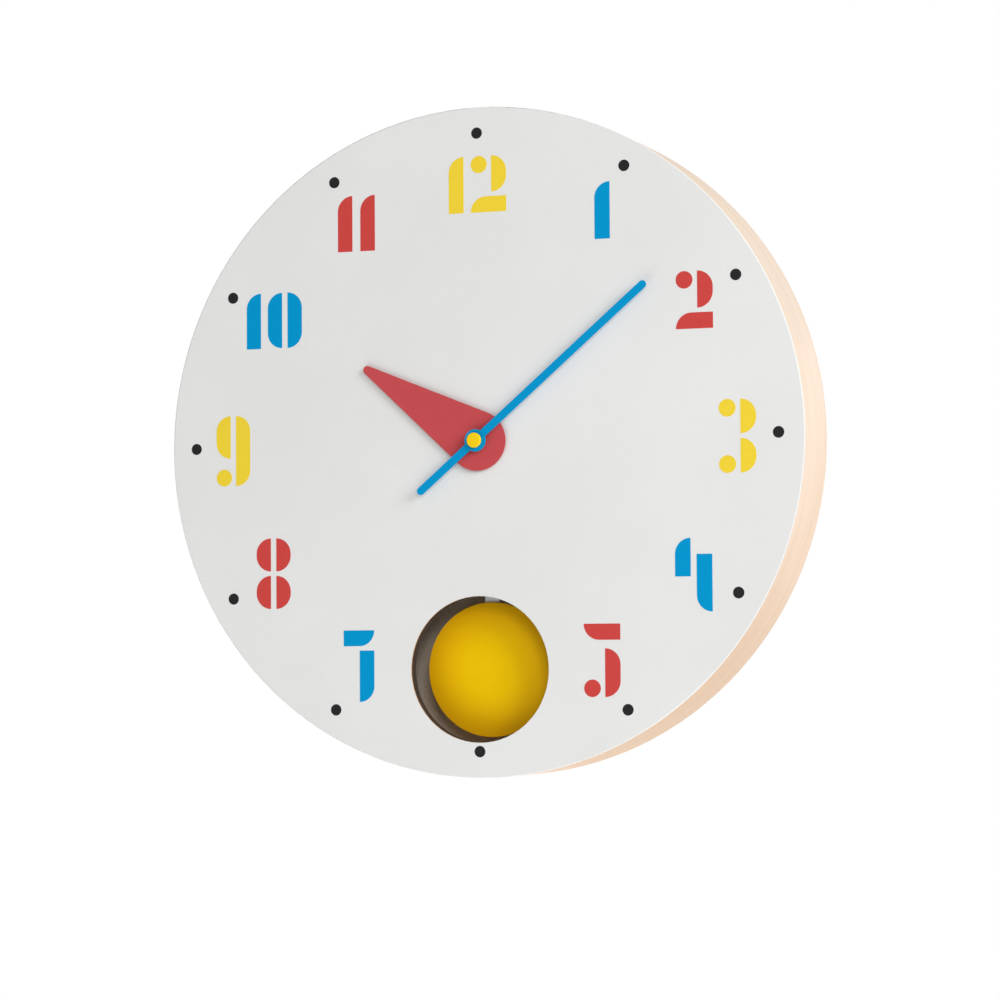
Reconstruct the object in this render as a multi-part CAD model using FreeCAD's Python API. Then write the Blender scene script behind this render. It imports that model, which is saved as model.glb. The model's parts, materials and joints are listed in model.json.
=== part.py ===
"""Pendulum wall clock: a round wooden case with a printed dial, a quartz movement and a short pendulum.

Millimetres. +X is to the right of someone facing the dial, +Z is up and -Y comes out of the wall.
The origin is on the hands' axis, in the wall plane. The hands stand at eight minutes past ten.
"""
import FreeCAD
import Part
import math
import os

# ---------------------------------------------------------------- driving dimensions

CASE_RADIUS = 150.0
CASE_DEPTH = 38.5            # wall to the front of the dial
SHEET_THICKNESS = 0.8        # white laminate on the dial board
SHEET_EDGE_ROUND = 0.5
BOARD_THICKNESS = 4.8
RING_WALL = 7.0
PANEL_THICKNESS = 3.0
PANEL_RECESS = 3.0           # wall to the rear of the back panel
PANEL_RADIUS = 146.4         # dial board and back panel
REBATE_RADIUS = 146.5

WINDOW_RADIUS = 32.6
WINDOW_Z = -101.8

HOUR_DOT_RADIUS = 2.55
HOUR_DOT_CIRCLE = 138.3
INK = 0.06
STROKE = 7.1                 # width of a numeral's stroke
NUMERAL_DOT_RADIUS = 3.85
STROKE_OFFSET = 1.35         # from a wide numeral's centre line to the near edge of a stroke
DOT_OFFSET = 4.55            # from a wide numeral's centre line to its dot
SHORT_HALF = 12.7            # half height of 10, 11, 12, 1 and 2
TALL_HALF = 16.1             # half height of 3, 4, 5, 7, 8 and 9

HOUR_ANGLE = 302.4           # clockwise from twelve
MINUTE_ANGLE = 49.8
HAND_THICKNESS = 0.5
HOUR_HAND_LIFT = 1.7         # dial to the front of the hand
MINUTE_HAND_LIFT = 4.4
CAP_LIFT = 6.6
HOUR_BIG_RADIUS = 13.4
HOUR_TIP_RADIUS = 1.9
HOUR_TIP_REACH = 62.5
MINUTE_HALF_WIDTH = 1.75
MINUTE_REACH = 104.5
MINUTE_TAIL = 35.9
MINUTE_HUB_RADIUS = 5.0
CAP_RADIUS = 3.35
CAP_RIM = 1.2                # thickness of the cap's wide part
CAP_NECK_RADIUS = 2.3
CAP_ROUND = 0.6

RUNNING = 0.05               # radial clearance of a shaft in its hole

MOVEMENT_HALF = 28.0         # half width of the square part of the movement
MOVEMENT_WALL = 1.2
HOUSING_HALF = 17.0          # half width of the pendulum housing under it
HOUSING_BOTTOM = -62.0
WASHER_THICKNESS = 1.0
MOVEMENT_REAR = -16.5        # outer face of the rear cover

PIVOT_Z = -34.0              # the pendulum's axis
HOOK_Z = -65.0
BOB_Z = -102.0
BOB_RADIUS = 30.2
BOB_FRONT = -22.4            # front of the bob's rim
BOB_BACK = -20.0
BOB_CROWN = 2.0
ROD_HALF_WIDTH = 3.25
ROD_THICKNESS = 1.6

# ---------------------------------------------------------------- planes worked out from them

FACE_Y = -CASE_DEPTH
BOARD_FRONT = FACE_Y + SHEET_THICKNESS
BOARD_REAR = BOARD_FRONT + BOARD_THICKNESS
RING_INNER = CASE_RADIUS - RING_WALL
PANEL_REAR = -PANEL_RECESS
PANEL_FRONT = PANEL_REAR - PANEL_THICKNESS
MOVEMENT_FRONT = BOARD_REAR + WASHER_THICKNESS
FLOOR_Y = MOVEMENT_FRONT + MOVEMENT_WALL        # inner face of the front shell's floor
COVER_Y = MOVEMENT_REAR - MOVEMENT_WALL         # inner face of the rear cover
HOUR_FRONT = FACE_Y - HOUR_HAND_LIFT
MINUTE_FRONT = FACE_Y - MINUTE_HAND_LIFT
CAP_FRONT = FACE_Y - CAP_LIFT
ROD_FRONT = BOB_BACK - ROD_THICKNESS

# ---------------------------------------------------------------- shape helpers


def vec(x, y, z):
    return FreeCAD.Vector(x, y, z)


def block(x_range, y_range, z_range):
    """Box between two values on each axis."""
    size = [high - low for low, high in (x_range, y_range, z_range)]
    return Part.makeBox(size[0], size[1], size[2], vec(x_range[0], y_range[0], z_range[0]))


def disc(radius, front, rear, x=0.0, z=0.0):
    """Solid cylinder along Y."""
    return Part.makeCylinder(radius, rear - front, vec(x, front, z), vec(0, 1, 0))


def ring(outer, inner, front, rear, x=0.0, z=0.0):
    return disc(outer, front, rear, x, z).cut(disc(inner, front - 1, rear + 1, x, z))


def prism(wire, front, rear):
    """Closed wire in an XZ plane, extruded along Y."""
    face = Part.Face(wire)
    face.translate(vec(0, front - wire.BoundBox.YMin, 0))
    return face.extrude(vec(0, rear - front, 0))


def clockwise(shape, degrees, x=0.0, z=0.0):
    """Copy of a shape turned clockwise, as seen from the front, about an axis along Y."""
    turned = shape.copy()
    turned.rotate(vec(x, 0, z), vec(0, 1, 0), degrees)
    return turned


def joined(first, *others):
    result = first
    for other in others:
        result = result.fuse(other)
    return result.removeSplitter()


def slot_prism(half_width, low, high, front, rear, x=0.0):
    """Upright bar with two round ends, whose end centres are at z = low and z = high."""
    bar = block((x - half_width, x + half_width), (front, rear), (low, high))
    return joined(bar, disc(half_width, front, rear, x, low), disc(half_width, front, rear, x, high))


def save(name, *solids):
    """Write one node, which may hold several separate solids."""
    shape = solids[0] if len(solids) == 1 else Part.makeCompound(list(solids))
    if not shape.isValid():
        raise ValueError(name + " is not a valid shape")
    shape.exportStep("parts/" + name + ".step")
    print(name, len(shape.Solids), "solids,", round(shape.Volume, 1), "mm3")


# ---------------------------------------------------------------- screws

HEAD_ROUND = 0.45            # rounding of a screw's head, as a share of the head's height
RECESS_DEPTH = 0.6           # cross recess, as shares of the head's height and radius
RECESS_HALF_WIDTH = 0.17
RECESS_REACH = 0.62
SCREW_TIP_RADIUS = 0.15


def pan_screw(head_radius, head_height, shank_radius, length, x, head_face, z):
    """Screw driven from behind towards -Y. Its head stands on the plane y = head_face."""
    head = disc(head_radius, head_face, head_face + head_height, x, z)
    rim = [edge for edge in head.Edges if abs(edge.BoundBox.YMin - head_face - head_height) < 0.01]
    head = head.makeFillet(head_height * HEAD_ROUND, [rim[0]])
    shank = disc(shank_radius, head_face - length + shank_radius, head_face, x, z)
    tip = vec(x, head_face - length, z)
    point = Part.makeCone(SCREW_TIP_RADIUS, shank_radius, shank_radius, tip, vec(0, 1, 0))
    screw = joined(head, shank, point)
    width, reach = head_radius * RECESS_HALF_WIDTH, head_radius * RECESS_REACH
    deep = (head_face + head_height * (1 - RECESS_DEPTH), head_face + head_height + 1)
    upright = block((x - width, x + width), deep, (z - reach, z + reach))
    level = block((x - reach, x + reach), deep, (z - width, z + width))
    return screw.cut(upright.fuse(level))


# ---------------------------------------------------------------- case

BLOCK_INNER = 125.0          # the glue blocks reach from here to the ring
BLOCK_HALF_WIDTH = 8.0
BLOCK_FRONT = -26.0
BLOCK_ANGLES = (45, 135, 225, 315)
BLOCK_HOLE_FRONT = -22.0
PANEL_SCREW_CIRCLE = 133.0
PANEL_SCREW_RADIUS = 1.5
PANEL_SCREW_LENGTH = 14.0
PANEL_SCREW_HEAD_RADIUS = 3.0
PANEL_SCREW_HEAD_HEIGHT = 2.0
ACCESS_X = (-33.0, 33.0)     # opening for the movement in the back panel
ACCESS_Z = (-68.0, 34.0)
ACCESS_CORNER = 6.0
COUNTERBORE_RADIUS = 9.0     # seat of the nut in the front of the dial
COUNTERBORE_DEPTH = 3.0
BUSH_RADIUS = 4.0
BUSH_HOLE_RADIUS = 4.2
BUSH_FRONT = FACE_Y - 0.2

HANGER_HALF_WIDTH = 25.0
HANGER_Z = 119.0
HANGER_HALF_HEIGHT = 11.0
HANGER_THICKNESS = 1.2
HANGER_CORNER = 5.0
KEYHOLE_Z = 115.0            # centre of the hole that takes the screw's head
KEYHOLE_RADIUS = 4.5
KEYHOLE_SLOT_Z = 123.0       # where the hanging screw's shank comes to rest
KEYHOLE_SLOT_HALF = 2.3
HANGER_POCKET_HALF = 6.5
HANGER_SCREW_X = 18.0
HANGER_SCREW_RADIUS = 1.4
HANGER_SCREW_HEAD_RADIUS = 2.6
HANGER_SCREW_HEAD_HEIGHT = 1.4
HANGER_SCREW_LENGTH = 4.0


def polar(radius, degrees_clockwise):
    """X and Z of a point at a clock angle."""
    angle = math.radians(degrees_clockwise)
    return radius * math.sin(angle), radius * math.cos(angle)


def face_sheet():
    sheet = disc(CASE_RADIUS, FACE_Y, BOARD_FRONT)
    rim = [edge for edge in sheet.Edges if abs(edge.BoundBox.YMax - FACE_Y) < 0.01]
    sheet = sheet.makeFillet(SHEET_EDGE_ROUND, [rim[0]])
    sheet = sheet.cut(disc(WINDOW_RADIUS, FACE_Y - 1, BOARD_REAR, 0, WINDOW_Z))
    return sheet.cut(disc(COUNTERBORE_RADIUS, FACE_Y - 1, BOARD_REAR))


def dial_board():
    """Fibreboard disc let into the front of the ring, under the sheet."""
    board = disc(PANEL_RADIUS, BOARD_FRONT, BOARD_REAR)
    board = board.cut(disc(WINDOW_RADIUS, BOARD_FRONT - 1, BOARD_REAR + 1, 0, WINDOW_Z))
    board = board.cut(disc(COUNTERBORE_RADIUS, BOARD_FRONT - 1, FACE_Y + COUNTERBORE_DEPTH))
    return board.cut(disc(BUSH_HOLE_RADIUS, BOARD_FRONT - 1, BOARD_REAR + 1))


def case_ring():
    """Bent laminated ring with a rebate at each end, for the dial board and for the back panel."""
    wall = ring(CASE_RADIUS, RING_INNER, BOARD_FRONT, 0)
    wall = wall.cut(disc(REBATE_RADIUS, BOARD_FRONT - 1, BOARD_REAR))
    return wall.cut(disc(REBATE_RADIUS, PANEL_FRONT, 1))


def glue_blocks():
    blocks = []
    for angle in BLOCK_ANGLES:
        across = (-BLOCK_HALF_WIDTH, BLOCK_HALF_WIDTH)
        piece = block(across, (BLOCK_FRONT, PANEL_FRONT), (BLOCK_INNER, CASE_RADIUS))
        piece = clockwise(piece, angle).common(disc(RING_INNER, BLOCK_FRONT, PANEL_FRONT))
        x, z = polar(PANEL_SCREW_CIRCLE, angle)
        blocks.append(piece.cut(disc(PANEL_SCREW_RADIUS, BLOCK_HOLE_FRONT, PANEL_FRONT + 1, x, z)))
    return blocks


def back_panel():
    panel = disc(PANEL_RADIUS, PANEL_FRONT, PANEL_REAR)
    opening = block(ACCESS_X, (PANEL_FRONT - 1, PANEL_REAR + 1), ACCESS_Z)
    corners = [edge for edge in opening.Edges if edge.BoundBox.YLength > PANEL_THICKNESS]
    panel = panel.cut(opening.makeFillet(ACCESS_CORNER, corners))
    pocket = slot_prism(HANGER_POCKET_HALF, KEYHOLE_Z, KEYHOLE_SLOT_Z, PANEL_FRONT - 1, PANEL_REAR + 1)
    panel = panel.cut(pocket)
    for angle in BLOCK_ANGLES:
        x, z = polar(PANEL_SCREW_CIRCLE, angle)
        panel = panel.cut(disc(PANEL_SCREW_RADIUS, PANEL_FRONT - 1, PANEL_REAR + 1, x, z))
    for x in (-HANGER_SCREW_X, HANGER_SCREW_X):
        panel = panel.cut(disc(HANGER_SCREW_RADIUS, PANEL_FRONT - 1, PANEL_REAR + 1, x, HANGER_Z))
    return panel


def back_panel_screws():
    screws = []
    for angle in BLOCK_ANGLES:
        x, z = polar(PANEL_SCREW_CIRCLE, angle)
        screws.append(pan_screw(PANEL_SCREW_HEAD_RADIUS, PANEL_SCREW_HEAD_HEIGHT, PANEL_SCREW_RADIUS,
                                PANEL_SCREW_LENGTH, x, PANEL_REAR, z))
    return screws


def hanger_plate():
    front, rear = PANEL_REAR, PANEL_REAR + HANGER_THICKNESS
    plate = block((-HANGER_HALF_WIDTH, HANGER_HALF_WIDTH), (front, rear),
                  (HANGER_Z - HANGER_HALF_HEIGHT, HANGER_Z + HANGER_HALF_HEIGHT))
    corners = [edge for edge in plate.Edges if abs(edge.BoundBox.YLength - HANGER_THICKNESS) < 0.01]
    plate = plate.makeFillet(HANGER_CORNER, corners)
    plate = plate.cut(disc(KEYHOLE_RADIUS, front - 1, rear + 1, 0, KEYHOLE_Z))
    plate = plate.cut(slot_prism(KEYHOLE_SLOT_HALF, KEYHOLE_Z, KEYHOLE_SLOT_Z, front - 1, rear + 1))
    for x in (-HANGER_SCREW_X, HANGER_SCREW_X):
        plate = plate.cut(disc(HANGER_SCREW_RADIUS, front - 1, rear + 1, x, HANGER_Z))
    return plate


def hanger_screws():
    face = PANEL_REAR + HANGER_THICKNESS
    return [pan_screw(HANGER_SCREW_HEAD_RADIUS, HANGER_SCREW_HEAD_HEIGHT, HANGER_SCREW_RADIUS,
                      HANGER_SCREW_LENGTH, x, face, HANGER_Z)
            for x in (-HANGER_SCREW_X, HANGER_SCREW_X)]


# ---------------------------------------------------------------- printed dial


def stroke(x_range, z_range, rounded=()):
    """Upright or level bar of a numeral. Corners named in rounded are quarter circles of the stroke's width."""
    (left, right), (low, high) = x_range, z_range
    corners = {"bl": (left, low), "br": (right, low), "tr": (right, high), "tl": (left, high)}
    centres = {"bl": (1, 1), "br": (-1, 1), "tr": (-1, -1), "tl": (1, -1)}
    starts = {"bl": 180, "br": 270, "tr": 0, "tl": 90}
    outline = []
    for name in ("bl", "br", "tr", "tl"):
        x, z = corners[name]
        if name not in rounded:
            outline.append([vec(x, 0, z)])
            continue
        radius = min(STROKE, right - left, high - low)
        cx, cz = x + centres[name][0] * radius, z + centres[name][1] * radius
        angles = [math.radians(starts[name] + turn) for turn in (0, 45, 90)]
        outline.append([vec(cx + radius * math.cos(a), 0, cz + radius * math.sin(a)) for a in angles])
    edges = []
    for index, points in enumerate(outline):
        if len(points) == 3:
            edges.append(Part.Arc(points[0], points[1], points[2]).toShape())
        following = outline[(index + 1) % len(outline)][0]
        if points[-1].distanceToPoint(following) > 0.001:
            edges.append(Part.LineSegment(points[-1], following).toShape())
    return prism(Part.Wire(edges), FACE_Y - INK, FACE_Y)


def ink_dot(x, z, radius=NUMERAL_DOT_RADIUS):
    return disc(radius, FACE_Y - INK, FACE_Y, x, z)


LEFT = (-STROKE_OFFSET - STROKE, -STROKE_OFFSET)      # left and right strokes of a wide numeral
RIGHT = (STROKE_OFFSET, STROKE_OFFSET + STROKE)
WIDE = (LEFT[0], RIGHT[1])
SHORT = (-SHORT_HALF, SHORT_HALF)
TALL = (-TALL_HALF, TALL_HALF)
LEFT_ROUND = ("tl", "bl")
RIGHT_ROUND = ("tr", "br")
DOT_HIGH_SHORT = SHORT_HALF - NUMERAL_DOT_RADIUS
DOT_HIGH_TALL = TALL_HALF - NUMERAL_DOT_RADIUS
STROKE_GAP = 2.0             # between two strokes, one above the other
MIDDLE_GAP = STROKE_GAP / 2
FOUR_FOOT = -0.7             # lower end of the left stroke of 4
FIVE_TOP = 5.3               # upper end of the right stroke of 5
SEVEN_HALF = 7.45            # half width of 7
NINE_FOOT = -3.4             # lower end of the left stroke of 9
WIDE_FIGURE_X = 5.3          # the second figure of 10 and 12, from the middle of the pair
ONE_OF_TEN_X = -10.15
ONE_OF_ELEVEN_X = 5.5
ONE_OF_TWELVE_X = -10.1


def figure_one():
    return [stroke((-STROKE / 2, STROKE / 2), SHORT, ("tl",))]


def figure_two():
    base_top = -SHORT_HALF + STROKE
    return [stroke(WIDE, (-SHORT_HALF, base_top), ("tl",)),
            stroke(RIGHT, (base_top + STROKE_GAP, SHORT_HALF), RIGHT_ROUND),
            ink_dot(-DOT_OFFSET, DOT_HIGH_SHORT)]


def figure_three():
    return [stroke(RIGHT, (MIDDLE_GAP, TALL_HALF), RIGHT_ROUND),
            stroke(RIGHT, (-TALL_HALF, -MIDDLE_GAP), RIGHT_ROUND),
            ink_dot(-DOT_OFFSET, DOT_HIGH_TALL),
            ink_dot(-DOT_OFFSET, -DOT_HIGH_TALL)]


def figure_four():
    return [stroke(LEFT, (FOUR_FOOT, TALL_HALF), ("tl",)),
            stroke(RIGHT, (-TALL_HALF, TALL_HALF - STROKE), ("bl",))]


def figure_five():
    return [stroke(WIDE, (TALL_HALF - STROKE, TALL_HALF), ("bl",)),
            stroke(RIGHT, (-TALL_HALF, FIVE_TOP), RIGHT_ROUND),
            ink_dot(-DOT_OFFSET, -DOT_HIGH_TALL)]


def figure_seven():
    upright = (SEVEN_HALF - STROKE, SEVEN_HALF)
    return [stroke((-SEVEN_HALF, SEVEN_HALF), (TALL_HALF - STROKE, TALL_HALF), ("br",)),
            stroke(upright, (-TALL_HALF, TALL_HALF - STROKE - STROKE_GAP), ("br",))]


def figure_eight():
    pieces = []
    for z_range in ((MIDDLE_GAP, TALL_HALF), (-TALL_HALF, -MIDDLE_GAP)):
        pieces.append(stroke(LEFT, z_range, LEFT_ROUND))
        pieces.append(stroke(RIGHT, z_range, RIGHT_ROUND))
    return pieces


def figure_nine():
    return [stroke(LEFT, (NINE_FOOT, TALL_HALF), LEFT_ROUND),
            stroke(RIGHT, TALL, RIGHT_ROUND),
            ink_dot(-DOT_OFFSET, -DOT_HIGH_TALL)]


def figure_zero():
    return [stroke(LEFT, SHORT, LEFT_ROUND), stroke(RIGHT, SHORT, RIGHT_ROUND)]


def moved(pieces, x, z=0.0):
    placed = []
    for piece in pieces:
        copy = piece.copy()
        copy.translate(vec(x, 0, z))
        placed.append(copy)
    return placed


def numeral_ten():
    return moved(figure_one(), ONE_OF_TEN_X) + moved(figure_zero(), WIDE_FIGURE_X)


def numeral_eleven():
    return moved(figure_one(), -ONE_OF_ELEVEN_X) + moved(figure_one(), ONE_OF_ELEVEN_X)


def numeral_twelve():
    return moved(figure_one(), ONE_OF_TWELVE_X) + moved(figure_two(), WIDE_FIGURE_X)


# numeral, ink and centre; the window takes the place of six
NUMERALS = (
    (numeral_twelve, "yellow", 0.2, 115.2),
    (figure_one, "blue", 58.9, 100.5),
    (figure_two, "red", 100.9, 59.0),
    (figure_three, "yellow", 119.9, -1.1),
    (figure_four, "blue", 99.6, -61.1),
    (figure_five, "red", 57.4, -98.1),
    (figure_seven, "blue", -57.9, -100.1),
    (figure_eight, "red", -99.8, -57.8),
    (figure_nine, "yellow", -119.8, -1.3),
    (numeral_ten, "blue", -99.2, 57.9),
    (numeral_eleven, "red", -58.4, 100.5),
)


def print_in(ink):
    pieces = []
    for numeral, colour, x, z in NUMERALS:
        if colour == ink:
            pieces += moved(numeral(), x, z)
    return pieces


def hour_dots():
    return [ink_dot(*polar(HOUR_DOT_CIRCLE, hour * 30), HOUR_DOT_RADIUS) for hour in range(12)]


# ---------------------------------------------------------------- gears

PRESSURE_ANGLE = math.radians(20)
WHEEL_ADDENDUM = 0.5         # in modules; short, so that small pinions aren't undercut
PINION_ADDENDUM = 0.9
DEDENDUM = 1.2
BACKLASH = 0.12              # taken off each tooth, in modules
WHEEL_HOLES = 5
HOLE_CIRCLE = 0.55           # of the pitch radius
HOLE_SIZE = 0.2


def involute(angle):
    return math.tan(angle) - angle


def gear(teeth, module, front, rear, x, z, phase, addendum):
    """Spur gear about an axis along Y. phase is the angle of one tooth, in degrees from +X towards +Z."""
    pitch_radius = teeth * module / 2
    base = pitch_radius * math.cos(PRESSURE_ANGLE)
    root = pitch_radius - DEDENDUM * module
    tip = pitch_radius + addendum * module
    half_pitch_tooth = math.pi / (2 * teeth) - BACKLASH * module / (2 * pitch_radius)

    def half_angle(radius):
        pressure = math.acos(min(1.0, base / max(radius, base)))
        return half_pitch_tooth + involute(PRESSURE_ANGLE) - involute(pressure)

    radii = [root, pitch_radius, tip] if root >= base else [root, base, pitch_radius, tip]
    points = []
    for tooth in range(teeth):
        middle = math.radians(phase) + 2 * math.pi * tooth / teeth
        flank = [(radius, middle - half_angle(radius)) for radius in radii]
        flank += [(radius, middle + half_angle(radius)) for radius in reversed(radii)]
        points += [vec(x + r * math.cos(a), 0, z + r * math.sin(a)) for r, a in flank]
    points.append(points[0])
    return prism(Part.makePolygon(points), front, rear)


def meshed_phase(teeth, phase, towards, other_teeth):
    """Phase of the gear that meshes with one of this phase, which it lies from at the angle towards."""
    offset = ((towards - phase) * teeth / 360) % 1
    return towards + 180 - (0.5 - offset) * 360 / other_teeth


# teeth and modules: cannon pinion 10, motion wheel 30, motion pinion 8 and hour wheel 32 make 1 to 12;
# centre wheel 64, third wheel 8 and 60, seconds wheel 8 and 60, intermediate wheel 10 and 60, rotor 12
MOTION_MODULE = 0.64
CENTRE_MODULE = 0.34
SECONDS_MODULE = 0.3
ROTOR_MODULE = 0.25
CANNON, MOTION, MOTION_PINION, HOUR = 10, 30, 8, 32
CENTRE, THIRD_PINION, THIRD = 64, 8, 60
SECONDS_PINION, SECONDS, INTER_PINION, INTER, ROTOR_PINION = 8, 60, 10, 60, 12

# direction of each arbor from the one before it, in degrees from +X towards +Z
MOTION_TOWARDS = 0.0
THIRD_TOWARDS = 135.0
SECONDS_TOWARDS = 25.0
INTER_TOWARDS = -10.0
ROTOR_TOWARDS = -20.0

# front and rear of each layer of wheels
HOUR_LAYER = (-30.2, -29.0)
MOTION_LAYER = (-28.6, -27.4)
CENTRE_LAYER = (-26.6, -25.6)
THIRD_LAYER = (-24.6, -23.6)
SECONDS_LAYER = (-22.8, -21.8)
INTER_LAYER = (-21.0, -20.0)
PINION_OVERHANG = 0.3        # a pinion is this much longer than its mate at each end
ARBOR_RADIUS = 0.6
ARBOR_FRONT = -29.4
ARBOR_REAR = -18.4
MINUTE_ARBOR_RADIUS = 1.7
MINUTE_PIVOT_RADIUS = 0.9
MINUTE_THREAD_RADIUS = 1.3
HOUR_TUBE_RADIUS = 2.5
HOUR_TUBE_FRONT = HOUR_FRONT - 0.4              # the tube stands a little out of the hand
MINUTE_PIVOT_FRONT = CENTRE_LAYER[1] + 0.6
KNOB_ARBOR_RADIUS = 1.0
CAP_TOP = 0.9                # metal left over the end of the thread
ROTOR_MAGNET_RADIUS = 3.0
ROTOR_MAGNET = (-25.4, -22.0)


def stepped(origin, distance, towards):
    angle = math.radians(towards)
    return origin[0] + distance * math.cos(angle), origin[1] + distance * math.sin(angle)


AXIS = (0.0, 0.0)
MOTION_AXIS = stepped(AXIS, (CANNON + MOTION) * MOTION_MODULE / 2, MOTION_TOWARDS)
THIRD_AXIS = stepped(AXIS, (CENTRE + THIRD_PINION) * CENTRE_MODULE / 2, THIRD_TOWARDS)
SECONDS_AXIS = stepped(THIRD_AXIS, (THIRD + SECONDS_PINION) * CENTRE_MODULE / 2, SECONDS_TOWARDS)
INTER_AXIS = stepped(SECONDS_AXIS, (SECONDS + INTER_PINION) * SECONDS_MODULE / 2, INTER_TOWARDS)
ROTOR_AXIS = stepped(INTER_AXIS, (INTER + ROTOR_PINION) * ROTOR_MODULE / 2, ROTOR_TOWARDS)

MOTION_PHASE = meshed_phase(CANNON, 0, MOTION_TOWARDS, MOTION)
HOUR_PHASE = meshed_phase(MOTION_PINION, 0, MOTION_TOWARDS + 180, HOUR)
THIRD_PINION_PHASE = meshed_phase(CENTRE, 0, THIRD_TOWARDS, THIRD_PINION)
SECONDS_PINION_PHASE = meshed_phase(THIRD, 0, SECONDS_TOWARDS, SECONDS_PINION)
INTER_PINION_PHASE = meshed_phase(SECONDS, 0, INTER_TOWARDS, INTER_PINION)
ROTOR_PINION_PHASE = meshed_phase(INTER, 0, ROTOR_TOWARDS, ROTOR_PINION)


def longer(layer):
    return layer[0] - PINION_OVERHANG, layer[1] + PINION_OVERHANG


def wheel(teeth, module, layer, axis, phase=0.0):
    """Wheel with round holes to lighten it."""
    body = gear(teeth, module, layer[0], layer[1], axis[0], axis[1], phase, WHEEL_ADDENDUM)
    pitch_radius = teeth * module / 2
    for hole in range(WHEEL_HOLES):
        x, z = stepped(axis, pitch_radius * HOLE_CIRCLE, (hole + 0.5) * 360 / WHEEL_HOLES)
        body = body.cut(disc(pitch_radius * HOLE_SIZE, layer[0] - 1, layer[1] + 1, x, z))
    return body


def pinion(teeth, module, layer, axis, phase=0.0):
    front, rear = longer(layer)
    return gear(teeth, module, front, rear, axis[0], axis[1], phase, PINION_ADDENDUM)


def train_wheel(big, small):
    """Wheel, pinion and arbor moulded in one piece."""
    arbor = disc(ARBOR_RADIUS, ARBOR_FRONT, ARBOR_REAR, *big["axis"])
    return joined(wheel(**big), pinion(**small), arbor)


def third_wheel():
    big = dict(teeth=THIRD, module=CENTRE_MODULE, layer=THIRD_LAYER, axis=THIRD_AXIS)
    small = dict(teeth=THIRD_PINION, module=CENTRE_MODULE, layer=CENTRE_LAYER, axis=THIRD_AXIS,
                 phase=THIRD_PINION_PHASE)
    return train_wheel(big, small)


def seconds_wheel():
    big = dict(teeth=SECONDS, module=SECONDS_MODULE, layer=SECONDS_LAYER, axis=SECONDS_AXIS)
    small = dict(teeth=SECONDS_PINION, module=CENTRE_MODULE, layer=THIRD_LAYER, axis=SECONDS_AXIS,
                 phase=SECONDS_PINION_PHASE)
    return train_wheel(big, small)


def intermediate_wheel():
    big = dict(teeth=INTER, module=ROTOR_MODULE, layer=INTER_LAYER, axis=INTER_AXIS)
    small = dict(teeth=INTER_PINION, module=SECONDS_MODULE, layer=SECONDS_LAYER, axis=INTER_AXIS,
                 phase=INTER_PINION_PHASE)
    return train_wheel(big, small)


def rotor_pinion():
    teeth = pinion(ROTOR_PINION, ROTOR_MODULE, INTER_LAYER, ROTOR_AXIS, ROTOR_PINION_PHASE)
    return joined(teeth, disc(ARBOR_RADIUS, ARBOR_FRONT, ARBOR_REAR, *ROTOR_AXIS))


def rotor_magnet():
    return ring(ROTOR_MAGNET_RADIUS, ARBOR_RADIUS, ROTOR_MAGNET[0], ROTOR_MAGNET[1], *ROTOR_AXIS)


def minute_arbor():
    """Arbor with the cannon pinion; its front carries the minute hand on a shoulder, under the cap."""
    shoulder = MINUTE_FRONT + HAND_THICKNESS
    arbor = disc(MINUTE_ARBOR_RADIUS, shoulder, MINUTE_PIVOT_FRONT)
    thread = disc(MINUTE_THREAD_RADIUS, CAP_FRONT + CAP_TOP, shoulder)
    pivot = disc(MINUTE_PIVOT_RADIUS, MINUTE_PIVOT_FRONT, ARBOR_REAR)
    return joined(arbor, thread, pivot, pinion(CANNON, MOTION_MODULE, MOTION_LAYER, AXIS))


def centre_wheel():
    return wheel(CENTRE, CENTRE_MODULE, CENTRE_LAYER, AXIS).cut(
        disc(MINUTE_ARBOR_RADIUS, CENTRE_LAYER[0] - 1, CENTRE_LAYER[1] + 1))


def hour_wheel():
    tube = disc(HOUR_TUBE_RADIUS, HOUR_TUBE_FRONT, HOUR_LAYER[1])
    body = joined(wheel(HOUR, MOTION_MODULE, HOUR_LAYER, AXIS, HOUR_PHASE), tube)
    return body.cut(disc(MINUTE_ARBOR_RADIUS + RUNNING, HOUR_TUBE_FRONT - 1, HOUR_LAYER[1] + 1))


KNOB_FRONT = MOVEMENT_REAR + 0.4
KNOB_REAR = -12.3
KNOB_RADIUS = 5.0
KNOB_CHAMFER = 0.5
KNOB_ARBOR_END = KNOB_REAR - 1.2
GRIPS = 16                   # grooves round the knob's side
GRIP_RADIUS = 0.6
GRIP_CIRCLE = KNOB_RADIUS + 0.25
MOTION_PINION_FRONT = HOUR_LAYER[0] - 0.1
FRONT_PIVOT_RADIUS = 0.6
MOTION_PIVOT_FRONT = MOVEMENT_FRONT + 0.4


def motion_wheel():
    big = wheel(MOTION, MOTION_MODULE, MOTION_LAYER, MOTION_AXIS, MOTION_PHASE)
    small = gear(MOTION_PINION, MOTION_MODULE, MOTION_PINION_FRONT, MOTION_LAYER[0], MOTION_AXIS[0],
                 MOTION_AXIS[1], 0, PINION_ADDENDUM)
    front_pivot = disc(FRONT_PIVOT_RADIUS, MOTION_PIVOT_FRONT, HOUR_LAYER[0], *MOTION_AXIS)
    arbor = disc(KNOB_ARBOR_RADIUS, MOTION_LAYER[1], KNOB_ARBOR_END, *MOTION_AXIS)
    return joined(big, small, front_pivot, arbor)


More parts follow.
